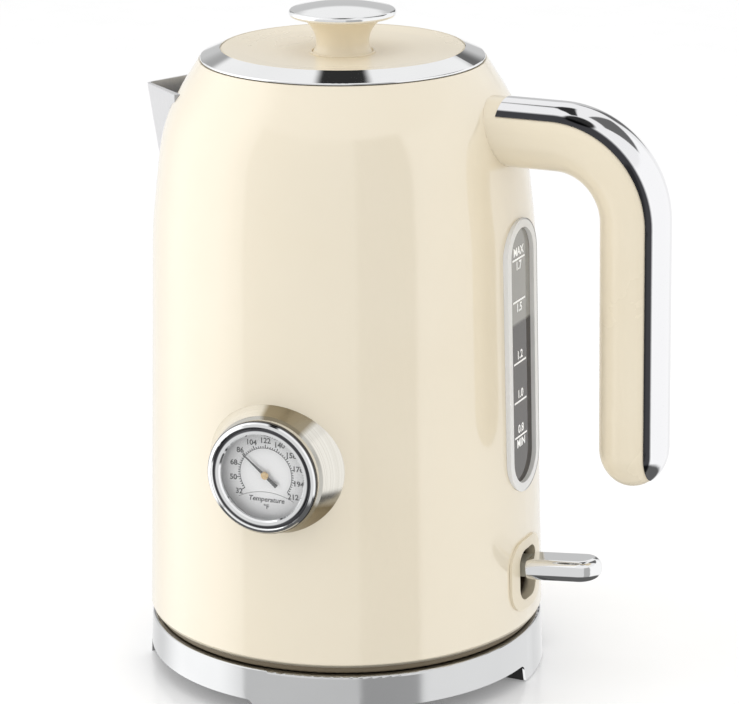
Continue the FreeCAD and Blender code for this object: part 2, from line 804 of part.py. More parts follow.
def make_gauge_lens():
    """Clear front glass."""
    r = gauge_view_r + 1.2
    return facing(turned_out([(lens_x, 0), (lens_x, r), (lens_x + 0.7, r), (lens_x + 0.7, 0)],
                             gauge_z), gauge_turn_deg)


def make_gauge_probe():
    """Movement case, threaded stem and probe that reaches into the water."""
    case_r = gauge_view_r + 1.2
    case_back = ring_back_x - 2.3
    tip = gauge_surface - probe_length
    body = turned_out([(tip, 0), (tip, probe_r), (gauge_surface - 8, probe_r),
                       (gauge_surface - 8, stem_thread_r), (case_back, stem_thread_r),
                       (case_back, case_r), (dial_x - 0.6, case_r), (dial_x - 0.6, 0)], gauge_z)
    bore = Part.makeCylinder(shaft_r + running_gap, 20, V(case_back - 1.5, 0, gauge_z), AXIS_X)
    return facing(body.cut(bore), gauge_turn_deg)


def make_gauge_gasket():
    """Soft washer between the wall and the nut."""
    washer = turned_out([(gauge_surface - 3.4, stem_thread_r + fit_gap), (gauge_surface - 3.4, 9.0),
                         (gauge_surface, 9.0), (gauge_surface, stem_thread_r + fit_gap)], gauge_z)
    return facing(washer.common(body_solid(body_wall + 0.02)), gauge_turn_deg)


def make_gauge_nut():
    """Hexagonal nut inside the vessel."""
    face_x = gauge_surface - 3.5
    points = [V(face_x, 8.0 * math.cos(math.radians(60 * i)),
                gauge_z + 8.0 * math.sin(math.radians(60 * i))) for i in range(7)]
    nut = Part.Face(Part.makePolygon(points)).extrude(V(-3.5, 0, 0))
    bore = Part.makeCylinder(stem_thread_r + 0.02, 20, V(face_x - 10, 0, gauge_z), AXIS_X)
    return facing(nut.cut(bore), gauge_turn_deg)


def needle_line(distance, side):
    """Point in the needle's plane, along and across its rest direction."""
    a = math.radians(needle_rest_deg)
    y = distance * math.cos(a) - side * math.sin(a)
    z = distance * math.sin(a) + side * math.cos(a)
    return V(needle_x, y, gauge_z + z)


def make_needle():
    """Thin pointer with a wider tail."""
    outline = [(-needle_tail, 0.7), (-1.0, 0.55), (1.0, 0.5), (needle_tip, 0.12),
               (needle_tip, -0.12), (1.0, -0.5), (-1.0, -0.55), (-needle_tail, -0.7)]
    points = [needle_line(d, s) for d, s in outline]
    blade = Part.Face(Part.makePolygon(points + points[:1])).extrude(V(0.25, 0, 0))
    boss = Part.makeCylinder(1.2, 0.25, V(needle_x, 0, gauge_z), AXIS_X)
    hole = Part.makeCylinder(shaft_r, 5, V(needle_x - 2, 0, gauge_z), AXIS_X)
    return facing(blade.fuse(boss).cut(hole), gauge_turn_deg)


def make_needle_hub():
    """Brass cap on the needle's shaft."""
    hub = turned_out([(needle_x - 3.0, 0), (needle_x - 3.0, shaft_r), (needle_x + 0.25, shaft_r),
                      (needle_x + 0.25, 1.5), (needle_x + 0.55, 1.3), (needle_x + 0.65, 0)], gauge_z)
    return facing(hub, gauge_turn_deg)


# ================================================================ switch
def make_switch_bezel():
    """Cream surround of the lever opening, with a sleeve through the wall."""
    flange = body_solid(-bezel_proud).cut(OUTSIDE).common(switch_hole(bezel_side, bezel_end, 50, 90))
    sleeve = switch_hole(bezel_sleeve, bezel_sleeve, pivot_x + 6, 90).common(body_solid(-bezel_proud))
    return flange.fuse(sleeve).cut(switch_hole(0, 0, 40, 95)).removeSplitter()


def make_switch_housing():
    """Black box behind the opening; its cheeks hold the pivot pin."""
    front = pivot_x + 5.9
    half_w = switch_open_w / 2 + bezel_sleeve
    low = switch_z - switch_open_h / 2 - bezel_sleeve
    high = switch_z + switch_open_h / 2 + bezel_sleeve
    case = block(pivot_x - 14, front, -half_w, half_w, low, high)
    case = case.cut(block(pivot_x - 12.5, front + 1, -half_w + 1.5, half_w - 1.5, low + 1.5, high - 1.5))
    pin = Part.makeCylinder(pivot_pin_r, 60, V(pivot_x, -30, pivot_z), AXIS_Y)
    return case.cut(pin)


def make_lever_pin():
    """Steel pin that the lever turns on."""
    half_w = switch_open_w / 2 + bezel_sleeve
    return Part.makeCylinder(pivot_pin_r, 2 * half_w, V(pivot_x, -half_w, pivot_z), AXIS_Y)


def tilted(shape):
    """Give a lever piece its rest angle about the pivot."""
    return shape.rotated(V(pivot_x, 0, pivot_z), AXIS_Y, -lever_tilt_deg)


def make_lever_arm():
    """Grey arm that turns on the pin."""
    half = arm_width / 2
    arm = block(pivot_x, lever_root_x, -half, half, pivot_z - arm_thick / 2, pivot_z + arm_thick / 2)
    hub = Part.makeCylinder(4.2, arm_width, V(pivot_x, -half, pivot_z), AXIS_Y)
    bore = Part.makeCylinder(pivot_pin_r + running_gap, 40, V(pivot_x, -20, pivot_z), AXIS_Y)
    return tilted(arm.fuse(hub).cut(bore).removeSplitter())


def make_lever_tip():
    """Chrome paddle with a rounded end and an oval section."""
    half = lever_width / 2
    end_x = lever_reach - half
    low = pivot_z - lever_thick / 2
    paddle = block(lever_root_x, end_x, -half, half, low, low + lever_thick)
    paddle = paddle.fuse(Part.makeCylinder(half, lever_thick, V(end_x, 0, low))).removeSplitter()
    rim = [e for e in paddle.Edges if abs(abs(e.CenterOfMass.z - pivot_z) - lever_thick / 2) < 0.01
           and e.CenterOfMass.x > lever_root_x + 0.1]
    return tilted(paddle.makeFillet(lever_thick * 0.42, rim))


def make_indicator_lamp():
    """Small amber lamp beside the lever, seen through the opening."""
    y = switch_open_w / 2 - 2.6
    z = switch_z - switch_open_h / 2 + 2.8
    lamp = Part.makeCylinder(1.4, 18.0, V(pivot_x - 12.5, y, z), AXIS_X)
    return lamp.fuse(Part.makeSphere(1.4, V(pivot_x + 5.5, y, z)))


# ================================================================ steam path
def make_steam_tube():
    """Tube that brings steam down to the cut-out."""
    x, y = steam_spot()
    return ring(steam_r - steam_wall, steam_r, plate_z - 9, neck_z - steam_top_drop, x, y)


def make_steam_grommet():
    """Soft seal where the tube passes the heating plate."""
    x, y = steam_spot()
    grommet = ring(steam_r, steam_r + 2.0, plate_z - plate_thick, plate_z, x, y)
    return grommet.fuse(ring(steam_r, steam_r + 3.4, plate_z, plate_z + 1.5, x, y))


def make_steam_thermostat():
    """Bimetal disc in its holder below the tube."""
    x, y = steam_spot()
    top = plate_z - 10
    holder = rod(7.5, top - 6, top, x, y).cut(rod(6.5, top - 4.8, top - 1.2, x, y))
    holder = holder.cut(rod(steam_r - steam_wall, top - 2, top + 1, x, y))
    disc = rod(6.2, top - 3.4, top - 2.9, x, y)
    return group([holder, disc])


# ================================================================ lid
rim_top_z = neck_z + lid_rise
plug_r = mouth_r - plug_gap


def make_lid_rim():
    """Chrome ring that slopes from the body up to the cream disc."""
    low = neck_z + 0.35
    rim = turned([(lid_rim_r, low), (lid_rim_r, low + 0.5), (lid_inner_r, rim_top_z),
                  (lid_inner_r, rim_top_z - rim_thick), (lid_rim_r - 3.0, low)])
    return filleted(rim, 0.45, level_circle(low + 0.5, lid_rim_r))


def make_lid_cover():
    """Cream disc, slightly dished, with a hole for the knob's screw."""
    r = lid_inner_r - 0.05
    cover = turned([(0, rim_top_z - dish_depth), (knob_neck_r + 4, rim_top_z - dish_depth),
                    (r - 8, rim_top_z - 0.8), (r - 0.6, rim_top_z - 0.1), (r, rim_top_z - 0.5),
                    (r, neck_z + 0.4), (0, neck_z + 0.4)])
    return cover.cut(rod(screw_r + 0.1, 0, neck_z + 40))


def make_lid_plug():
    """Hollow plug that reaches into the mouth, with a groove for the seal."""
    top = neck_z + 0.35
    low = neck_z - plug_depth
    plug = turned([(0, top), (lid_inner_r - 0.5, top), (plug_r, neck_z - 0.5), (plug_r, low), (plug_r - 2, low),
                   (plug_r - 2, top - 2), (6.0, top - 2), (6.0, low + 1.0), (0, low + 1.0)])
    plug = plug.cut(ring(plug_r - 1.0, plug_r + 2, neck_z - 9, neck_z - 6))
    return plug.cut(rod(screw_r, 0, top + 1))


def make_lid_seal():
    """Silicone ring that holds the plug in the mouth."""
    return turned([(plug_r - 1.0, neck_z - 9), (plug_r, neck_z - 9), (mouth_r - 0.35, neck_z - 7.5),
                   (plug_r, neck_z - 6), (plug_r - 1.0, neck_z - 6)])


def make_lid_underplate():
    """Steel disc on the underside of the plug."""
    low = neck_z - plug_depth - 0.8
    plate = rod(plug_r - 0.3, low, low + 0.8)
    return plate.cut(rod(screw_r + 0.1, low - 1, neck_z, 0, 0))


knob_base_z = rim_top_z - dish_depth
stem_top_z = knob_base_z + knob_height


def make_knob_stem():
    """Cream stem that flares out under the cap."""
    height = knob_height
    points = [V(knob_neck_r + 0.8, 0, knob_base_z), V(knob_neck_r, 0, knob_base_z + 1.2),
              V(knob_neck_r - 0.2, 0, knob_base_z + 0.45 * height),
              V(knob_neck_r + 1.6, 0, knob_base_z + 0.72 * height),
              V(knob_flare_r + 1.4, 0, stem_top_z)]
    curve = Part.BSplineCurve()
    curve.interpolate(points)
    bottom = Part.LineSegment(V(0, 0, knob_base_z), points[0]).toShape()
    top = Part.LineSegment(points[-1], V(0, 0, stem_top_z)).toShape()
    axis = Part.LineSegment(V(0, 0, stem_top_z), V(0, 0, knob_base_z)).toShape()
    stem = Part.Face(Part.Wire([bottom, curve.toShape(), top, axis])).revolve(ORIGIN, AXIS_Z, 360)
    return stem.cut(rod(screw_r, 0, stem_top_z - 2))


def make_knob_cap():
    """Chrome cap with a rounded edge and a low dome."""
    low = stem_top_z
    shoulder = V(knob_cap_r - 1.2, 0, low + cap_edge + 0.5)
    dome_r = (shoulder.x ** 2 + cap_dome ** 2) / (2 * cap_dome)
    centre_z = shoulder.z + cap_dome - dome_r
    half = math.asin(shoulder.x / dome_r) / 2
    crown = V(dome_r * math.sin(half), 0, centre_z + dome_r * math.cos(half))
    tip = V(0, 0, shoulder.z + cap_dome)
    underside = V(knob_cap_r - 2.0, 0, low)
    bead = V(knob_cap_r, 0, low + cap_edge / 2 + 0.3)
    wire = Part.Wire([Part.LineSegment(V(0, 0, low), underside).toShape(),
                      Part.Arc(underside, bead, shoulder).toShape(),
                      Part.Arc(shoulder, crown, tip).toShape(),
                      Part.LineSegment(tip, V(0, 0, low)).toShape()])
    return Part.Face(wire).revolve(ORIGIN, AXIS_Z, 360)


def make_lid_screw():
    """Long screw from below that joins plate, plug, cover and knob."""
    low = neck_z - plug_depth - 0.8
    screw = rod(screw_head_r + 1.0, low - 1.6, low)
    return screw.fuse(rod(screw_r - running_gap, low, stem_top_z - 3))


PIECES = {
    "base_skirt": make_base_skirt, "base_deck": make_base_deck, "base_pan": make_base_pan,
    "base_feet": make_base_feet, "base_connector": make_base_connector,
    "connector_contacts": make_connector_contacts, "base_screws": make_base_screws,
    "cord_gland": make_cord_gland, "cord_clamp": make_cord_clamp, "clamp_screws": make_clamp_screws,
    "body_shell": make_body_shell, "heating_plate": make_heating_plate,
    "heat_spreader": make_heat_spreader, "heating_element": make_heating_element,
    "heater_posts": make_heater_posts, "control_unit": make_control_unit,
    "connector_rings": make_connector_rings, "bottom_cover": make_bottom_cover,
    "bottom_screws": make_bottom_screws, "spout": make_spout, "spout_filter": make_spout_filter,
    "handle_grip": make_handle_grip, "handle_trim": make_handle_trim,
    "handle_screws": make_handle_screws, "window_frame": make_window_frame,
    "window_pane": make_window_pane, "window_gasket": make_window_gasket,
    "window_clamp": make_window_clamp, "gauge_housing": make_gauge_housing,
    "gauge_ring": make_gauge_ring, "gauge_dial": make_gauge_dial, "gauge_lens": make_gauge_lens,
    "gauge_probe": make_gauge_probe, "gauge_gasket": make_gauge_gasket, "gauge_nut": make_gauge_nut,
    "needle": make_needle, "needle_hub": make_needle_hub, "switch_bezel": make_switch_bezel,
    "switch_housing": make_switch_housing, "lever_pin": make_lever_pin,
    "lever_arm": make_lever_arm, "lever_tip": make_lever_tip, "indicator_lamp": make_indicator_lamp,
    "steam_tube": make_steam_tube, "steam_grommet": make_steam_grommet,
    "steam_thermostat": make_steam_thermostat, "lid_rim": make_lid_rim, "lid_cover": make_lid_cover,
    "lid_plug": make_lid_plug, "lid_seal": make_lid_seal, "lid_underplate": make_lid_underplate,
    "knob_stem": make_knob_stem, "knob_cap": make_knob_cap, "lid_screw": make_lid_screw,
}

for piece_name, make in PIECES.items():
    piece = make()
    save(piece_name, piece)
    print(f"{piece_name:20s} {len(piece.Solids)} solid(s) {piece.Volume:10.1f} mm3 valid {piece.isValid()}")
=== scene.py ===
# %% [markdown]
# Electric kettle on its powered base. The engineering model is loaded first and never
# moved: it fixes every size. The steps after it dress that model with finishes, printed
# scales and small trims, then set the lights and the camera. Blender works in metres, so
# a length in millimetres is written as a number times MM.

# %% Load the kettle
import json
import math
import bmesh
import bpy
from mathutils import Matrix, Vector


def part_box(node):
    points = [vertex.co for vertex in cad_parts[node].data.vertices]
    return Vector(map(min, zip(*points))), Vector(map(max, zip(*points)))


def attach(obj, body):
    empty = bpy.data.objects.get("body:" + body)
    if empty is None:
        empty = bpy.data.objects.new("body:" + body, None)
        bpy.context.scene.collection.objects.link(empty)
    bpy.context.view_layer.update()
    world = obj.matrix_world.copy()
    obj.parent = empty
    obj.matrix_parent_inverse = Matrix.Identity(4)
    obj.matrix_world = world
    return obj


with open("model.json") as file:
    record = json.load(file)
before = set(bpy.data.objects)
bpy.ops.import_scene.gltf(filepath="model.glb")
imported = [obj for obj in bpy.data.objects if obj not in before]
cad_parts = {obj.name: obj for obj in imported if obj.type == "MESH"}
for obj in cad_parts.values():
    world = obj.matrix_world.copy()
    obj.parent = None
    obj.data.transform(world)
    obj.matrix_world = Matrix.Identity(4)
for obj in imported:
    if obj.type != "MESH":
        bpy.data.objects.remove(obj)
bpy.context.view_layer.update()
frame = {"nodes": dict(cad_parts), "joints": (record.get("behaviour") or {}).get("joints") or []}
nodes = frame["nodes"]
MM = 0.001

# %% [markdown]
# A shader tree is easier to read as a list of nodes with what goes into each. The first
# helper adds one node: a plain value is typed into its socket, and another node's output is
# wired. The others are the few sums that come back in almost every tree, so that a mask
# such as "close to the rim" takes one or two lines.

# %% Helpers for shader trees
def add(tree, kind, inputs=None, **settings):
    """Add a shader node, set its options, and fill or wire its inputs."""
    node = tree.nodes.new(kind)
    for key, value in settings.items():
        setattr(node, key, value)
    for key, value in (inputs or {}).items():
        if isinstance(value, bpy.types.NodeSocket):
            tree.links.new(value, node.inputs[key])
        else:
            node.inputs[key].default_value = value
    return node


def number(tree, operation, *values):
    """Work out one number from others."""
    return add(tree, "ShaderNodeMath", dict(enumerate(values)), operation=operation).outputs[0]


def vector(tree, operation, *values):
    """Work out one vector, or its length or product, from others."""
    node = add(tree, "ShaderNodeVectorMath", dict(enumerate(values)), operation=operation)
    return node.outputs["Value" if operation in ("LENGTH", "DOT_PRODUCT") else "Vector"]


def split(tree, source):
    """The X, Y and Z of a vector."""
    return add(tree, "ShaderNodeSeparateXYZ", {"Vector": source}).outputs


def distance(tree, one_way, other_way):
    """How far a point is that lies this much one way and that much the other."""
    flat = add(tree, "ShaderNodeCombineXYZ", {"X": one_way, "Y": other_way})
    return vector(tree, "LENGTH", flat.outputs[0])


def turn_about_z(tree, source, angle):
    """Turn a vector about the vertical axis."""
    return add(tree, "ShaderNodeVectorRotate", {"Vector": source, "Angle": angle},
               rotation_type="Z_AXIS").outputs[0]


def ramp(tree, source, low, high):
    """Stretch a value so that low becomes 0 and high becomes 1, and no less or more."""
    node = add(tree, "ShaderNodeMapRange", {"Value": source, "From Min": low, "From Max": high})
    node.clamp = True
    return node.outputs["Result"]


def tint(tree, mask, first, second):
    """Blend two colours by a mask; each is three numbers or another node's output."""
    inputs = {"Factor": mask}
    for key, colour in (("A", first), ("B", second)):
        inputs[key] = colour if isinstance(colour, bpy.types.NodeSocket) else (*colour, 1)
    node = add(tree, "ShaderNodeMix", inputs, data_type="RGBA")
    return next(s for s in node.outputs if s.type == "RGBA")


print("shader helpers ready")

# %% [markdown]
# Real surfaces are never perfectly even. Three effects come back on most of the finishes:
# a fine grain (moulded plastic, the ripple of baked enamel), brushed lines (steel rubbed
# in one direction) and handling marks (soft blotches that change the gloss). Each is one
# node group, so that every finish can set its own scale and strength.

# %% Shared surface effects
VECTOR, FLOAT = "NodeSocketVector", "NodeSocketFloat"
MOTTLE_SCALE = 22.0


def new_group(name, inputs, outputs):
    """Start a node group; inputs are (name, socket type, value) and outputs names."""
    tree = bpy.data.node_groups.new(name, "ShaderNodeTree")
    for label, kind, value in inputs:
        socket = tree.interface.new_socket(label, in_out="INPUT", socket_type=kind)
        if value is not None:
            socket.default_value = value
    for label in outputs:
        tree.interface.new_socket(label, in_out="OUTPUT", socket_type=FLOAT)
    return tree, tree.nodes.new("NodeGroupInput").outputs, tree.nodes.new("NodeGroupOutput").inputs


def noise(tree, place, scale, detail, **more):
    """Soft random value between 0 and 1."""
    return add(tree, "ShaderNodeTexNoise", {"Vector": place, "Scale": scale, "Detail": detail,
                                            **more}).outputs["Fac"]


GRAIN, given, result = new_group("fine_grain", [("Vector", VECTOR, None), ("Scale", FLOAT, 900.0)],
                                 ["Height", "Mask"])
wide = noise(GRAIN, given["Vector"], MOTTLE_SCALE, 4.0)
GRAIN.links.new(noise(GRAIN, given["Vector"], given["Scale"], 3.0), result["Height"])
GRAIN.links.new(ramp(GRAIN, wide, 0.3, 0.7), result["Mask"])

BRUSHED, given, result = new_group("brushed_lines", [("Vector", VECTOR, None)],
                                   ["Height", "Mask"])
hair = noise(BRUSHED, given["Vector"], 1.0, 2.0, Roughness=0.7)
BRUSHED.links.new(hair, result["Height"])
BRUSHED.links.new(ramp(BRUSHED, hair, 0.25, 0.75), result["Mask"])

MARKS, given, result = new_group("handling_marks", [("Vector", VECTOR, None), ("Scale", FLOAT, 30.0)],
                                 ["Mask"])
blotch = noise(MARKS, given["Vector"], given["Scale"], 6.0, Distortion=0.6)
MARKS.links.new(ramp(MARKS, blotch, 0.42, 0.72), result["Mask"])
print("groups:", [g.name for g in (GRAIN, BRUSHED, MARKS)])

# %% [markdown]
# Every finish starts from one Principled shader. Its colour and roughness are each blended
# between two close values by one of the effects, and the effect's height feeds a Bump.
# Where one piece carries two colours, such as a ring with a dark groove, the finish is
# given a function that draws the colour on the tree instead of two tones.

# %% A finish from tones and an effect
def finish(name, colour, rough, grain=900.0, relief=0.02, marks=30.0, lines=None, **plain):
    """Material whose colour, gloss and relief vary; plain values go straight on the shader.

    relief is the height of the bump in millimetres, and rough the least and most roughness.
    """
    material = bpy.data.materials.new(name)
    material.use_nodes = True
    tree = material.node_tree
    shader = tree.nodes["Principled BSDF"]
    place = add(tree, "ShaderNodeTexCoord").outputs["Object"]
    if lines:
        skin = add(tree, "ShaderNodeGroup", node_tree=BRUSHED)
        tree.links.new(lines(tree, place), skin.inputs["Vector"])
    else:
        skin = add(tree, "ShaderNodeGroup", {"Vector": place, "Scale": grain}, node_tree=GRAIN)
    touch = add(tree, "ShaderNodeGroup", {"Vector": place, "Scale": marks}, node_tree=MARKS)
    gloss = add(tree, "ShaderNodeMapRange", {"Value": touch.outputs["Mask"], "To Min": rough[0],
                                             "To Max": rough[1]})
    bump = add(tree, "ShaderNodeBump", {"Height": skin.outputs["Height"], "Strength": 0.5,
                                        "Distance": relief * MM})
    drawn = colour(tree, place) if callable(colour) else tint(tree, skin.outputs["Mask"], *colour)
    tree.links.new(drawn, shader.inputs["Base Color"])
    tree.links.new(gloss.outputs["Result"], shader.inputs["Roughness"])
    tree.links.new(bump.outputs["Normal"], shader.inputs["Normal"])
    for key, value in plain.items():
        shader.inputs[key.replace("_", " ")].default_value = value
    return material


def shader_inputs(material):
    """The inputs of a finish's shader, to wire more into it."""
    return material.node_tree.nodes["Principled BSDF"].inputs


def paint(material, *names):
    """Give CAD nodes a finish."""
    for name in names:
        for slot in nodes[name].material_slots:
            slot.material = material


print("finish() and paint() ready")

# %% [markdown]
# The body is steel with baked cream enamel. Enamel is a coloured coat under a clear gloss,
# so the Coat of the shader does the reflections, and a very shallow ripple of about a
# millimetre breaks them up as on a real sprayed can. The inside is bare steel. It could be
# a second material on some faces, but a mask keeps the CAD mesh as it is: the inside is
# where the surface faces the kettle's axis.

# %% Cream enamel
ENAMEL = finish("cream_enamel", ((0.855, 0.762, 0.585), (0.87, 0.782, 0.612)), (0.32, 0.42),
                grain=700.0, relief=0.004, marks=18.0, Coat_Roughness=0.02, Coat_IOR=2.0)
BARE_STEEL = (0.60, 0.60, 0.60)

tree, inputs = ENAMEL.node_tree, shader_inputs(ENAMEL)
coords = add(tree, "ShaderNodeTexCoord").outputs
outward = vector(tree, "NORMALIZE", vector(tree, "MULTIPLY", coords["Object"], (1, 1, 0)))
inside = ramp(tree, vector(tree, "DOT_PRODUCT", outward, coords["Normal"]), -0.20, -0.30)
cream = inputs["Base Color"].links[0].from_socket
tree.links.new(tint(tree, inside, cream, BARE_STEEL), inputs["Base Color"])
tree.links.new(inside, inputs["Metallic"])
tree.links.new(number(tree, "SUBTRACT", 1.0, inside), inputs["Coat Weight"])
paint(ENAMEL, "body_shell")
print("enamel on the body, bare steel inside it")

# %% [markdown]
# The grip, the lid and the surround of the switch are moulded in a cream that matches the
# enamel, with a weaker gloss. Daylight hardly reaches the throat of the surround, so the
# cream there is blended into a dark brown over the last few millimetres.

# %% Cream plastic
CREAM_TONES = ((0.85, 0.757, 0.58), (0.865, 0.777, 0.607))
# The dark brown blended into the throat is painted shade, where daylight hardly reaches.
CREAM_MIDDLE, THROAT_PAINTED_SHADE = (0.857, 0.767, 0.592), (0.035, 0.022, 0.012)
MOULDED = {"rough": (0.27, 0.30), "grain": 2200.0, "relief": 0.0015, "marks": 14.0,
           "Coat_Weight": 0.35, "Coat_Roughness": 0.08}
THROAT_DEPTH, LIP_DEPTH = 5.0 * MM, 3.0 * MM
bezel_lo, bezel_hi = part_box("switch_bezel")


def bezel_colour(tree, place):
    """Cream lip with painted shade in the throat."""
    lip = ramp(tree, split(tree, place)["X"], bezel_hi.x - THROAT_DEPTH, bezel_hi.x - LIP_DEPTH)
    return tint(tree, lip, THROAT_PAINTED_SHADE, CREAM_MIDDLE)


CREAM = finish("cream_plastic", CREAM_TONES, **MOULDED)
BEZEL = finish("bezel_cream", bezel_colour, **MOULDED)
paint(CREAM, "handle_grip", "lid_cover", "knob_stem", "window_clamp")
paint(BEZEL, "switch_bezel")
print("switch surround reaches x =", round(bezel_hi.x / MM, 1), "mm")

# %% [markdown]
# Brushed steel is metal with lines: a noise that is squeezed more in one direction than in
# the other makes them. Round the thermometer's cone the lines run in circles, which comes
# from feeding the noise the distance from the cone's axis in place of a plain position.
# That axis is the needle's, and it points out between X and Y, so a place is first told
# from the thermometer's middle and turned until its X runs along the axis.

# %% Directions of brushed lines
gauge_lo, gauge_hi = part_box("gauge_dial")
gauge_centre = (gauge_lo + gauge_hi) / 2
gauge_turn = next(j for j in frame["joints"] if j["name"] == "needle_turn")
gauge_out = -Vector(gauge_turn["axis"]).normalized()
gauge_angle = math.atan2(gauge_out.y, gauge_out.x)
LATHE_LINES = (2600, 2600, 0)


def gauge_place(tree, place):
    """The depth along the thermometer's axis (X) and the place across it (Y and Z)."""
    return split(tree, turn_about_z(tree, vector(tree, "SUBTRACT", place, gauge_centre),
                                    -gauge_angle))


def gauge_polar(tree, place):
    """Depth along the thermometer's axis and distance from it."""
    parts = gauge_place(tree, place)
    return parts["X"], distance(tree, parts["Y"], parts["Z"])


def round_lines(tree, place):
    """Circles about the thermometer's axis."""
    depth, radius = gauge_polar(tree, place)
    both = add(tree, "ShaderNodeCombineXYZ", {"X": depth, "Y": radius}).outputs[0]
    return vector(tree, "MULTIPLY", both, LATHE_LINES)


def straight_lines(across, along):
    """Noise with one scale across the vertical axis and another along it."""
    def build(tree, place):
        return add(tree, "ShaderNodeMapping",
                   {"Vector": place, "Scale": (across, across, along)}).outputs["Vector"]
    return build


print("thermometer faces", round(math.degrees(gauge_angle), 1), "degrees")

# %% [markdown]
# Chrome plating is a mirror with faint finger marks, and the base's skirt is a darker
# satin chrome. The other metals are the bare ones: brushed steel where water runs, cast
# aluminium under the heating plate, zinc on the screws and brass at the contacts. They
# differ in tone, in roughness and in how the surface was worked.

# %% Metals
PLATED = {"grain": 120.0, "relief": 0.004, "marks": 26.0, "Metallic": 1.0}
CHROME = finish("chrome", ((0.86, 0.865, 0.87), (0.90, 0.905, 0.91)), (0.03, 0.09), **PLATED)
SATIN = finish("satin_chrome", ((0.60, 0.605, 0.61), (0.66, 0.665, 0.67)), (0.07, 0.12), **PLATED)
CONE_STEEL = finish("turned_steel", ((0.70, 0.67, 0.60), (0.86, 0.84, 0.78)), (0.12, 0.18),
                    relief=0.008, lines=round_lines, Metallic=1.0)
SPOUT_STEEL = finish("spout_steel", ((0.66, 0.66, 0.67), (0.73, 0.73, 0.74)), (0.30, 0.38),
                     relief=0.008, lines=straight_lines(2400, 60), Metallic=0.6)
INNER_STEEL = finish("inner_steel", ((0.55, 0.55, 0.55), (0.64, 0.64, 0.64)), (0.30, 0.42),
                     relief=0.01, lines=straight_lines(1500, 1500), Metallic=1.0)
ALUMINIUM = finish("cast_aluminium", ((0.60, 0.60, 0.62), (0.72, 0.72, 0.74)), (0.40, 0.55),
                   grain=1500.0, relief=0.03, Metallic=1.0)
ZINC = finish("zinc_screws", ((0.55, 0.55, 0.56), (0.66, 0.66, 0.67)), (0.30, 0.45),
              grain=2500.0, relief=0.01, Metallic=1.0)
BRASS = finish("brass", ((0.75, 0.52, 0.24), (0.86, 0.64, 0.34)), (0.16, 0.30), grain=2500.0,
               relief=0.006, marks=300.0, Metallic=1.0)
paint(CHROME, "lid_rim", "knob_cap", "lever_tip")
paint(SATIN, "base_skirt")
paint(CONE_STEEL, "gauge_housing")
paint(SPOUT_STEEL, "spout")
paint(INNER_STEEL, "heating_plate", "spout_filter", "gauge_probe", "steam_tube", "lid_underplate")
paint(ALUMINIUM, "heat_spreader", "heating_element")
paint(ZINC, "base_screws", "clamp_screws", "heater_posts", "bottom_screws", "handle_screws",
      "gauge_nut", "lever_pin", "lid_screw")
paint(BRASS, "connector_contacts", "connector_rings", "needle_hub")
print("metals assigned")

# %% [markdown]
# The thermometer's ring is turned with a step in it. The wall of the step and the outer
# side mirror the dark room between the studio's boards, which gives a ring its drawn
# look. Boards small enough to do that would spoil the rest of the chrome, so the two
# bands are blended into the ring's own colour by the distance from its axis.

# %% Stepped ring
ring_lo, ring_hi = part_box("gauge_ring")
RING_R = (ring_hi.z - ring_lo.z) / 2
GROOVE_R = RING_R - 2.65 * MM
# The groove and outer-side tones are painted reflections of the dark room between the boards.
RING_BRIGHT, GROOVE_PAINTED_REFLECTION, SIDE_PAINTED_REFLECTION = (0.88, 0.885, 0.89), (0.07, 0.07, 0.075), (0.06, 0.06, 0.065)


def ring_colour(tree, place):
    """Bright chrome with painted dark reflections in the groove and on the outer side near the front.
    """
    depth, radius = gauge_polar(tree, place)
    from_groove = number(tree, "ABSOLUTE", number(tree, "SUBTRACT", radius, GROOVE_R))
    groove = ramp(tree, from_groove, 0.75 * MM, 0.35 * MM)
    outer = ramp(tree, radius, RING_R - 0.35 * MM, RING_R - 0.15 * MM)
    side = number(tree, "MULTIPLY", outer, ramp(tree, depth, 2.4 * MM, 2.8 * MM))
    return tint(tree, side, tint(tree, groove, RING_BRIGHT, GROOVE_PAINTED_REFLECTION), SIDE_PAINTED_REFLECTION)


RING = finish("stepped_chrome", ring_colour, (0.03, 0.09), **PLATED)
paint(RING, "gauge_ring")
print("ring radius in mm:", round(RING_R / MM, 1))

# %% [markdown]
# The chrome strip on the handle is oval in section, so its two long edges turn away and
# mirror the dark floor of a room. As on the ring, a dark band in the colour stands for
# that, here by the distance from the handle's middle plane.

# %% Strip on the handle
trim_lo, trim_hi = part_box("handle_trim")
TRIM_HALF = (trim_hi.y - trim_lo.y) / 2
# The dark tone on the long edges is a painted reflection of a dark floor.
TRIM_BRIGHT, TRIM_EDGE_PAINTED_REFLECTION = (0.88, 0.88, 0.895), (0.05, 0.05, 0.055)


def trim_colour(tree, place):
    """Bright chrome with painted dark reflections along its two long edges."""
    sideways = number(tree, "ABSOLUTE", split(tree, place)["Y"])
    edge = ramp(tree, sideways, TRIM_HALF - 2.3 * MM, TRIM_HALF - 1.7 * MM)
    return tint(tree, edge, TRIM_BRIGHT, TRIM_EDGE_PAINTED_REFLECTION)


TRIM = finish("edged_chrome", trim_colour, (0.03, 0.08), **PLATED)
paint(TRIM, "handle_trim")
print("strip half width in mm:", round(TRIM_HALF / MM, 1))

# %% [markdown]
# A cone that was turned on a lathe shows fans of light and shade that run from its axis,
# as on the bottom of a pan. They could come from an anisotropic shader, but its radial
# tangent only knows the X, Y and Z axes, and this axis lies between them. So the fans are
# painted: by the clock angle about the axis, a tan painted reflection is blended in round
# two directions.

# %% Painted reflection fans on the thermometer's cone
REFLECTION_FANS = ((72, 20), (-52, 24))    # middle and half width in degrees: 0 is right and 90 is up
FAN_INNER, FAN_OUTER = -1, 5    # degrees past the half width where a fan starts to fade and ends
# The tan in the fans is a painted reflection, blended into the steel's colour.
FAN_PAINTED_REFLECTION = (0.34, 0.29, 0.20)

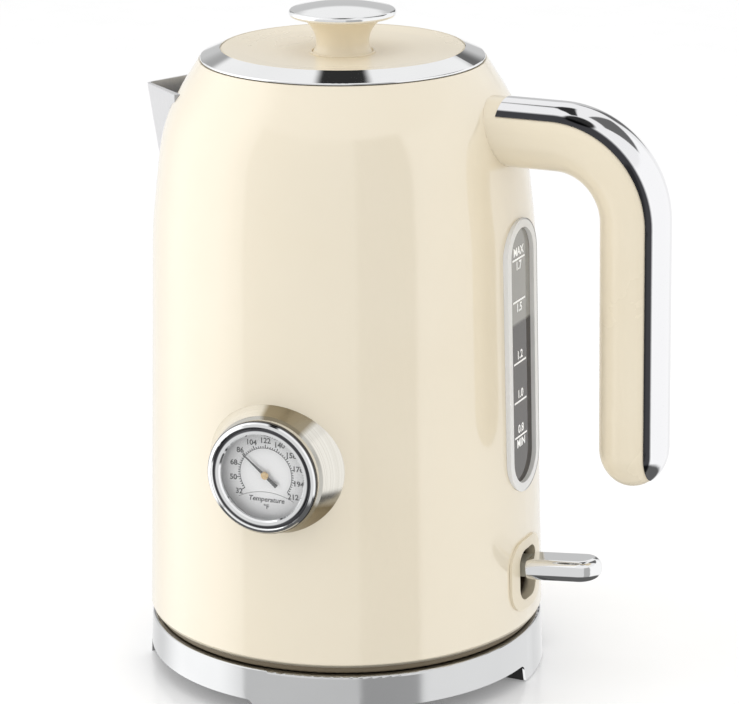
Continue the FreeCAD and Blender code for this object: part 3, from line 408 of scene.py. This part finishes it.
tree, inputs = CONE_STEEL.node_tree, shader_inputs(CONE_STEEL)
across = gauge_place(tree, add(tree, "ShaderNodeTexCoord").outputs["Object"])
clock = number(tree, "ARCTAN2", across["Z"], across["Y"])
tone = inputs["Base Color"].links[0].from_socket
for middle, half in REFLECTION_FANS:
    off = number(tree, "ABSOLUTE", number(tree, "SUBTRACT", clock, math.radians(middle)))
    fan = ramp(tree, off, math.radians(half + FAN_OUTER), math.radians(half + FAN_INNER))
    tone = tint(tree, fan, tone, FAN_PAINTED_REFLECTION)
tree.links.new(tone, inputs["Base Color"])
print(len(REFLECTION_FANS), "fans on the cone")

# %% [markdown]
# The rest is plastic and rubber: black glass-filled nylon under the base and behind the
# lever, soft black pads, grey silicone seals, and an amber lamp.

# %% Plastics and rubber
BLACK = finish("black_plastic", ((0.014, 0.014, 0.015), (0.024, 0.024, 0.026)), (0.42, 0.58),
               grain=3200.0)
RUBBER = finish("black_rubber", ((0.012, 0.012, 0.012), (0.03, 0.03, 0.03)), (0.70, 0.85),
                grain=1800.0, relief=0.03)
SILICONE = finish("grey_silicone", ((0.40, 0.41, 0.42), (0.50, 0.51, 0.52)), (0.45, 0.60),
                  grain=1500.0, Subsurface_Weight=0.2)
LEVER_GREY = finish("lever_grey", ((0.42, 0.40, 0.33), (0.50, 0.48, 0.40)), (0.35, 0.48),
                    grain=2600.0, relief=0.01)
AMBER = finish("amber_lens", ((0.75, 0.30, 0.04), (0.90, 0.42, 0.08)), (0.12, 0.20),
               grain=1200.0, relief=0.01, Coat_Weight=0.6)
NEEDLE_BLACK = finish("needle_black", ((0.010, 0.010, 0.011), (0.018, 0.018, 0.02)),
                      (0.30, 0.42), grain=2600.0, relief=0.004)
paint(BLACK, "base_deck", "base_pan", "base_connector", "cord_gland", "cord_clamp",
      "control_unit", "switch_housing", "steam_thermostat", "lid_plug")
paint(RUBBER, "base_feet")
paint(SILICONE, "window_gasket", "gauge_gasket", "steam_grommet", "lid_seal")
paint(LEVER_GREY, "lever_arm")
paint(AMBER, "indicator_lamp")
paint(NEEDLE_BLACK, "needle")
print("plastics assigned")

# %% [markdown]
# The cover that closes the body's underside shows only as a dark line above the base. Its
# rim catches some light from the cream above it, so the smoke colour turns tan there.

# %% Bottom cover
cover_lo, cover_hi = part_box("bottom_cover")
# The tan on the rim is painted light, bounced from the cream above.
SMOKE_DARK, SMOKE_RIM_PAINTED_LIGHT = (0.045, 0.038, 0.028), (0.17, 0.135, 0.085)


def cover_colour(tree, place):
    """Smoke with painted tan light on its rim."""
    parts = split(tree, place)
    reach = distance(tree, parts["X"], parts["Y"])
    rim = ramp(tree, reach, cover_hi.x - 1.6 * MM, cover_hi.x - 1.0 * MM)
    return tint(tree, rim, SMOKE_DARK, SMOKE_RIM_PAINTED_LIGHT)


SMOKE = finish("smoke_plastic", cover_colour, (0.42, 0.58), grain=3200.0)
paint(SMOKE, "bottom_cover")
print("bottom cover radius in mm:", round(cover_hi.x / MM, 1))

# %% [markdown]
# The thermometer's glass is thin and almost invisible, so most of it is cut away by a low
# Alpha, and it casts no shadow on the dial. The window's frame is clear plastic with a
# milky moulding haze. Where its rounded edge turns away to the right it mirrors the dark
# side of the room: a fine dark outline, found by the distance from a straight line up the
# middle of the window.

# %% Front glass and window frame
LENS = finish("front_glass", ((0.97, 0.98, 0.98), (0.99, 0.99, 0.99)), (0.0, 0.02), grain=60.0,
              relief=0.001, IOR=1.45, Alpha=0.07)
frame_lo, frame_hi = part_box("window_frame")
frame_mid = (frame_lo + frame_hi) / 2
FRAME_HALF = (frame_hi.y - frame_lo.y) / 2
FRAME_RUN = (frame_hi.z - frame_lo.z) / 2 - FRAME_HALF
# The dark outline tone is a painted reflection of the dark side of the room.
FRAME_MILKY, FRAME_EDGE_PAINTED_REFLECTION = (0.95, 0.95, 0.94), (0.22, 0.21, 0.20)


def frame_colour(tree, place):
    """Milky plastic with a painted dark reflection as an outline on the side of positive Y."""
    parts = split(tree, place)
    rise = number(tree, "ABSOLUTE", number(tree, "SUBTRACT", parts["Z"], frame_mid.z))
    past_run = number(tree, "MAXIMUM", number(tree, "SUBTRACT", rise, FRAME_RUN), 0.0)
    reach = distance(tree, parts["Y"], past_run)
    outline = ramp(tree, reach, FRAME_HALF - 0.7 * MM, FRAME_HALF - 0.3 * MM)
    far_side = ramp(tree, parts["Y"], -3 * MM, 5 * MM)
    return tint(tree, number(tree, "MULTIPLY", outline, far_side), FRAME_MILKY, FRAME_EDGE_PAINTED_REFLECTION)


FRAME_CLEAR = finish("milky_clear", frame_colour, (0.08, 0.14), relief=0.006,
                     Transmission_Weight=0.12, IOR=1.49)
paint(LENS, "gauge_lens")
paint(FRAME_CLEAR, "window_frame")
nodes["gauge_lens"].visible_shadow = False
print("window frame in mm:", round(FRAME_HALF / MM, 1), "half width,",
      round(FRAME_RUN / MM, 1), "half straight run")

# %% [markdown]
# The window's pane shows the water behind it: dark below the water line and lighter above.
# A real liquid behind clear plastic would need many bounces of light to look like that, so
# the pane is given the two tones, blended by height.

# %% Window pane
pane_lo, pane_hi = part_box("window_pane")
pane_height = pane_hi.z - pane_lo.z
WATER_SHARE = 0.63
WATER_LINE = pane_lo.z + WATER_SHARE * pane_height
# The dark tone below the water line is painted shade, standing in for the water seen through the
# pane.
WATER_PAINTED_SHADE, AIR_GREY = (0.040, 0.031, 0.024), (0.34, 0.335, 0.31)


def pane_colour(tree, place):
    """Painted shade for the water, with a soft line to the grey above it."""
    above = ramp(tree, split(tree, place)["Z"], WATER_LINE - 0.5 * MM, WATER_LINE + 0.8 * MM)
    return tint(tree, above, WATER_PAINTED_SHADE, AIR_GREY)


PANE = finish("window_pane", pane_colour, (0.05, 0.12), grain=500.0, relief=0.004, IOR=1.49,
              Coat_Weight=0.2)
paint(PANE, "window_pane")
print("water line at", round(WATER_LINE / MM, 1), "mm")

# %% [markdown]
# The dial is a thin sprayed disc. Painted shade makes it a touch darker towards its rim,
# next to the ring. Its colour is blended by the distance from its middle.

# %% Dial face
# The rim tone is painted shade next to the ring.
DIAL_RIM_PAINTED_SHADE, DIAL_MIDDLE = (0.55, 0.55, 0.555), (0.90, 0.90, 0.90)


def dial_colour(tree, place):
    """Silver with painted shade that darkens it from the middle to the rim."""
    radius = vector(tree, "LENGTH", vector(tree, "SUBTRACT", place, gauge_centre))
    return tint(tree, ramp(tree, radius, 16.5 * MM, 7.0 * MM), DIAL_RIM_PAINTED_SHADE, DIAL_MIDDLE)


DIAL = finish("dial_silver", dial_colour, (0.30, 0.40), grain=2600.0, relief=0.006, Metallic=0.25)
paint(DIAL, "gauge_dial")
print("dial centre in mm:", [round(c / MM, 1) for c in gauge_centre])

# %% [markdown]
# New pieces are made in a bmesh near the origin and put in place by a matrix, so that each
# object itself stays unmoved. The first helper turns a finished bmesh into a piece that
# rides on one of the kettle's bodies, and the second gives the matrix for a flat drawing
# that is to stand upright.

# %% Helpers for new pieces
def piece(name, bm, material, body, place=None):
    """Make a bmesh into an object that rides on a body."""
    if place:
        bmesh.ops.transform(bm, matrix=place, verts=bm.verts)
    mesh = bpy.data.meshes.new(name)
    bm.to_mesh(mesh)
    bm.free()
    mesh.materials.append(material)
    obj = bpy.data.objects.new(name, mesh)
    bpy.context.collection.objects.link(obj)
    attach(obj, body)
    print(name, len(mesh.polygons), "faces")
    return obj


def facing(origin, outward, lean=0.0):
    """Matrix that stands a flat drawing upright, facing outward."""
    out = outward.normalized()
    right = Vector((0, 0, 1)).cross(out).normalized()
    turn = Matrix((right, out.cross(right), out)).transposed().to_4x4()
    return Matrix.Translation(origin) @ turn @ Matrix.Rotation(-lean, 4, "X")


print("piece() and facing() ready")

# %% [markdown]
# Print is a film of ink with almost no thickness. It could be an image on the surface, but
# an image blurs when the camera comes close, so letters, bars and arcs are real shapes,
# at most two hundredths of a millimetre thick. Each helper adds to one flat drawing.

# %% Helpers for print
LETTER_HALF, BAR_THICK = 0.01 * MM, 0.02 * MM


def lettering(bm, words, size, x, y, slant=0.0, bold=0.0):
    """Add printed words, centred on a point of a flat drawing."""
    curve = bpy.data.curves.new("lettering", "FONT")
    curve.body, curve.size, curve.shear = words, size, slant
    curve.align_x, curve.align_y = "CENTER", "CENTER"
    curve.extrude, curve.resolution_u, curve.offset = LETTER_HALF, 3, bold
    carrier = bpy.data.objects.new("lettering", curve)
    mesh = bpy.data.meshes.new_from_object(carrier)
    mesh.transform(Matrix.Translation((x, y, 0)))
    bm.from_mesh(mesh)
    bpy.data.objects.remove(carrier)
    bpy.data.meshes.remove(mesh)


def bar(bm, x, y, width, height, turn=0.0):
    """Add a thin printed bar."""
    place = (Matrix.Translation((x, y, 0)) @ Matrix.Rotation(turn, 4, "Z")
             @ Matrix.Diagonal((width, height, BAR_THICK, 1)))
    bmesh.ops.create_cube(bm, size=1.0, matrix=place)


def arc(bm, x, y, radius, width, start, sweep, steps=64):
    """Add a thin printed arc by spinning a short edge."""
    ends = [bm.verts.new((x + r * math.cos(start), y + r * math.sin(start), 0))
            for r in (radius - width / 2, radius + width / 2)]
    edge = bm.edges.new(ends)
    bmesh.ops.spin(bm, geom=ends + [edge], cent=(x, y, 0), axis=(0, 0, 1), angle=sweep,
                   steps=steps, use_merge=False)


INK = finish("scale_ink", ((0.012, 0.012, 0.013), (0.03, 0.03, 0.032)), (0.35, 0.45),
             grain=2000.0, relief=0.002)
# The white ink also carries a faint emission: a painted glow that keeps the fill marks bright.
WHITE_INK = finish("white_ink_painted_glow", ((0.88, 0.88, 0.86), (0.94, 0.94, 0.92)), (0.35, 0.45),
                   grain=2000.0, relief=0.002, Emission_Color=(1, 1, 1, 1),
                   Emission_Strength=0.25)
print("inks ready")

# %% [markdown]
# The temperature scale runs clockwise over 250 degrees, with a number every 25 degrees and
# four small ticks between numbers. A thin curved line with the word for what it measures
# fills the gap at the bottom.

# %% Print on the dial
SCALE_START, SCALE_STEP = math.radians(215), math.radians(25)
FIRST_NUMBER, NUMBER_STEP, NUMBERS, TICKS_PER_NUMBER = 32, 18, 11, 5
TICK_CIRCLE, NUMBER_CIRCLE, NUMBER_SIZE = 9.6 * MM, 12.3 * MM, 2.7 * MM
LONG_TICK, SHORT_TICK, TICK_WIDTH = 1.3 * MM, 0.7 * MM, 0.34 * MM
NUMBER_BOLD, WORD_BOLD = 0.07 * MM, 0.05 * MM
SMILE_DROP, SMILE_R, SMILE_HALF = 28.1 * MM, 21.8 * MM, 28    # curved line: centre, radius, degrees
PRINT_STAND = 0.30 * MM                                       # from the dial's middle to its print

print_bm = bmesh.new()
for i in range(NUMBERS):
    a = SCALE_START - i * SCALE_STEP
    lettering(print_bm, str(FIRST_NUMBER + i * NUMBER_STEP), NUMBER_SIZE,
              NUMBER_CIRCLE * math.cos(a), NUMBER_CIRCLE * math.sin(a), bold=NUMBER_BOLD)
for i in range((NUMBERS - 1) * TICKS_PER_NUMBER + 1):
    a = SCALE_START - i * SCALE_STEP / TICKS_PER_NUMBER
    length = SHORT_TICK if i % TICKS_PER_NUMBER else LONG_TICK
    middle = TICK_CIRCLE + length / 2
    bar(print_bm, middle * math.cos(a), middle * math.sin(a), length, TICK_WIDTH, a)
arc(print_bm, 0, 0, TICK_CIRCLE, 0.22 * MM, SCALE_START, -(NUMBERS - 1) * SCALE_STEP, 120)
arc(print_bm, 0, -SMILE_DROP, SMILE_R, 0.16 * MM, math.radians(90 + SMILE_HALF),
    math.radians(-2 * SMILE_HALF))
lettering(print_bm, "Temperature", 2.5 * MM, 0, -9.0 * MM, slant=0.25, bold=WORD_BOLD)
lettering(print_bm, "°F", 2.3 * MM, 0, -11.7 * MM, bold=WORD_BOLD)
piece("dial_print", print_bm, INK, "kettle",
      facing(gauge_centre + gauge_out * PRINT_STAND, gauge_out))

# %% [markdown]
# The window carries the fill marks, printed in white on the pane's face: a line for each
# volume with its number beside it, and the two limit words. The pane leans back a little,
# as the body does, and the print leans with it.

# %% Print on the window
WINDOW_LEAN = math.radians(1.4)
FACE_STAND = 0.96 * MM          # from the pane's middle to its printed face
MARK_WIDTH, MARK_HEIGHT = 11.0 * MM, 0.65 * MM
MARK_SIZE, MARK_GAP, MARK_BOLD = 4.2 * MM, 2.6 * MM, 0.10 * MM
# share of the pane's height, what is printed there, and 1 above the line or -1 below it
MARKS_UP = ((0.880, "MAX", 1), (0.880, "1.7", -1), (0.717, "1.5", -1), (0.476, "1.2", 1),
            (0.322, "1.0", 1), (0.184, "0.8", 1), (0.184, "MIN", -1))

pane_mid = (pane_lo + pane_hi) / 2
marks_bm = bmesh.new()
for share in sorted({row[0] for row in MARKS_UP}):
    bar(marks_bm, 0, (share - 0.5) * pane_height, MARK_WIDTH, MARK_HEIGHT)
for share, words, side in MARKS_UP:
    lettering(marks_bm, words, MARK_SIZE, 0, (share - 0.5) * pane_height + side * MARK_GAP,
              bold=MARK_BOLD)
piece("window_marks", marks_bm, WHITE_INK, "kettle",
      facing(Vector((pane_mid.x + FACE_STAND, 0, pane_mid.z)), Vector((1, 0, 0)), WINDOW_LEAN))

# %% [markdown]
# The steel body ends in a rolled edge below the enamel: a bare bead, made by spinning a
# small circle round the kettle. A thin bead of the same kind closes the knob's foot.

# %% Rolled edge and knob ring
def bead(name, radius, z, thick, material, body):
    """Ring of round section about the vertical axis."""
    bm = bmesh.new()
    section = bmesh.ops.create_circle(
        bm, segments=16, radius=thick,
        matrix=Matrix.Translation((radius, 0, z)) @ Matrix.Rotation(math.pi / 2, 4, "X"))
    edges = list({e for v in section["verts"] for e in v.link_edges})
    bmesh.ops.spin(bm, geom=section["verts"] + edges, cent=(0, 0, 0), axis=(0, 0, 1),
                   angle=2 * math.pi, steps=192, use_merge=True)
    bmesh.ops.remove_doubles(bm, verts=bm.verts, dist=0.001 * MM)
    bmesh.ops.recalc_face_normals(bm, faces=bm.faces)
    for face in bm.faces:
        face.smooth = True
    return piece(name, bm, material, body)


EDGE_STEEL = finish("edge_steel", ((0.52, 0.47, 0.37), (0.60, 0.55, 0.44)), (0.28, 0.40),
                    relief=0.01, lines=straight_lines(300, 3000), Metallic=0.7)
shell_lo, shell_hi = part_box("body_shell")
stem_lo, stem_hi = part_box("knob_stem")
bead("rolled_edge", shell_hi.x - 1.35 * MM, shell_lo.z + 1.0 * MM, 1.0 * MM, EDGE_STEEL,
     "kettle")
bead("knob_ring", 11.2 * MM, stem_lo.z + 0.15 * MM, 0.45 * MM, CREAM, "lid")

# %% [markdown]
# Studio: a pale floor that runs out of sight and soft lights from the left, the right,
# above and behind. They only light the surfaces. What the gloss mirrors is drawn in the
# surround, where its shape can be chosen.

# %% Floor
FLOOR_REACH = 12.0
FLOOR = finish("pale_floor", ((0.93, 0.93, 0.93), (0.95, 0.95, 0.95)), (0.16, 0.20), grain=40.0,
               relief=0.0, Emission_Color=(1, 1, 1, 1), Emission_Strength=0.16)
floor_bm = bmesh.new()
bmesh.ops.create_grid(floor_bm, x_segments=1, y_segments=1, size=FLOOR_REACH)
floor_mesh = bpy.data.meshes.new("floor")
floor_bm.to_mesh(floor_mesh)
floor_bm.free()
floor_mesh.materials.append(FLOOR)
floor = bpy.data.objects.new("floor", floor_mesh)
bpy.context.collection.objects.link(floor)
floor.visible_glossy = False
print("floor reaches", FLOOR_REACH, "m each way")

# %% [markdown]
# Each lamp is a large soft rectangle, which gives no hard shadow. The left one is the
# strongest, so that the body's left side is the lightest and its form reads. A lamp's
# place is told by how far round it stands, how far off and how high.

# %% Lights
AIM = Vector((0, 0, 0.13))


def around(azimuth, distance_off, height):
    """Point round the kettle: azimuth 0 is in front and positive turns to the right."""
    a = math.radians(azimuth)
    return Vector((distance_off * math.sin(a), -distance_off * math.cos(a), height))


def panel(name, place, width, tall, power):
    """Soft rectangular light that faces the kettle."""
    light = bpy.data.lights.new(name, "AREA")
    light.shape, light.size, light.size_y, light.energy = "RECTANGLE", width, tall, power
    lamp = bpy.data.objects.new(name, light)
    lamp.location = place
    lamp.rotation_euler = (AIM - place).to_track_quat("-Z", "Y").to_euler()
    lamp.visible_camera = lamp.visible_glossy = False
    bpy.context.collection.objects.link(lamp)


panel("left_panel", around(-62, 1.7, 0.6), 1.3, 1.5, 10)
panel("right_panel", around(92, 1.7, 0.6), 0.8, 1.4, 3)
panel("top_panel", around(20, 0.3, 2.0), 1.8, 1.8, 7)
panel("back_panel", around(200, 1.8, 0.9), 1.6, 1.2, 3)
bpy.context.scene.view_settings.view_transform = "Standard"

# %% [markdown]
# Chrome shows only what stands round it, so a white room would make it look like paper. In
# a real studio, tall white boards and black flags are set round the piece. Here they are
# patches on the surround, each with a direction, a size and a brightness. Only mirrored
# rays see them; the eye and the matt surfaces get plain white.

# %% Boards and flags in the surround
FRONT = 25.5                    # degrees that the boards' front is turned to the right
ROOM, MATT, EYE = 0.95, 0.78, 1.05    # brightness between boards, for matt surfaces, for the eye
BOARDS = (
    # turn from the front, half width, rise, half height, softness, brightness
    (-97, 14, -5, 45, 32, 1.50),    # left board, fading into the room
    (-10, 50, -5, 40, 4, 0.76),     # grey room in front
    (25, 15, -5, 40, 5, 0.46),      # dark edge beside the right board
    (92, 44, -5, 38, 5, 1.05),      # right board
    (130, 18, 50, 14, 4, 0.15),     # flag high on the right
    (0, 180, 90, 10, 4, 0.03),      # flag overhead
    (0, 180, -90, 50, 8, 0.12),     # shade under the table edge
    (180, 8, 62, 12, 4, 0.03),      # flag high behind, one each side of the seam
    (-180, 8, 62, 12, 4, 0.03),
    (161, 7, 15, 8, 5, 0.15),       # flags at both back corners
    (-161, 7, 15, 8, 5, 0.40),
    (180, 12, 10, 9, 5, 0.60),      # grey cloth behind, on both sides of the seam
    (-180, 12, 10, 9, 5, 0.60),
)

world = bpy.data.worlds.new("studio")
world.use_nodes = True
sky = world.node_tree


def span(source, centre, half, soft):
    """Mask that is 1 within half of centre and fades over soft; all in degrees."""
    off = number(sky, "ABSOLUTE", number(sky, "SUBTRACT", source, math.radians(centre)))
    fade = add(sky, "ShaderNodeMapRange", {"Value": off, "From Min": math.radians(half + soft),
                                           "From Max": math.radians(half)},
               interpolation_type="SMOOTHSTEP")
    return fade.outputs["Result"]


def either(mask, first, second):
    """Blend two brightnesses by a mask."""
    return add(sky, "ShaderNodeMix", {"Factor": mask, "A": first, "B": second}).outputs["Result"]


direction = add(sky, "ShaderNodeTexCoord").outputs["Generated"]
seen_from_front = split(sky, turn_about_z(sky, direction, -math.radians(FRONT)))
towards = number(sky, "MULTIPLY", seen_from_front["Y"], -1.0)
turn = number(sky, "ARCTAN2", seen_from_front["X"], towards)
rise = number(sky, "ARCSINE", seen_from_front["Z"])
brightness = ROOM
for side, half, height, tall, soft, level in BOARDS:
    mask = number(sky, "MULTIPLY", span(turn, side, half, soft), span(rise, height, tall, soft))
    brightness = either(mask, brightness, level)
rays = add(sky, "ShaderNodeLightPath").outputs
strength = either(rays["Is Glossy Ray"], either(rays["Is Camera Ray"], MATT, EYE), brightness)
sky.links.new(strength, sky.nodes["Background"].inputs["Strength"])
sky.nodes["Background"].inputs["Color"].default_value = (1, 1, 1, 1)
bpy.context.scene.world = world
print(len(BOARDS), "boards and flags")

# %% [markdown]
# The camera stands to the right of the front, a little above the lid, with a long lens, as
# for a catalogue. It looks slightly to the right of the kettle's axis, because the handle
# is there.

# %% Camera
CAMERA_PLACE = Vector((0.4664, -0.9778, 0.4411))
CAMERA_DOWN, CAMERA_TURN, CAMERA_ROLL = (math.radians(a) for a in (16.70, 25.03, -0.305))
LENS_MM, SENSOR_MM = 151.6, 36.0
optics = bpy.data.cameras.new("camera")
optics.lens, optics.sensor_width = LENS_MM, SENSOR_MM
camera = bpy.data.objects.new("camera", optics)
camera.matrix_world = (Matrix.Translation(CAMERA_PLACE) @ Matrix.Rotation(CAMERA_TURN, 4, "Z")
                       @ Matrix.Rotation(math.pi / 2 - CAMERA_DOWN, 4, "X")
                       @ Matrix.Rotation(CAMERA_ROLL, 4, "Z"))
bpy.context.collection.objects.link(camera)
bpy.context.scene.camera = camera
print("camera at", [round(c, 3) for c in CAMERA_PLACE])
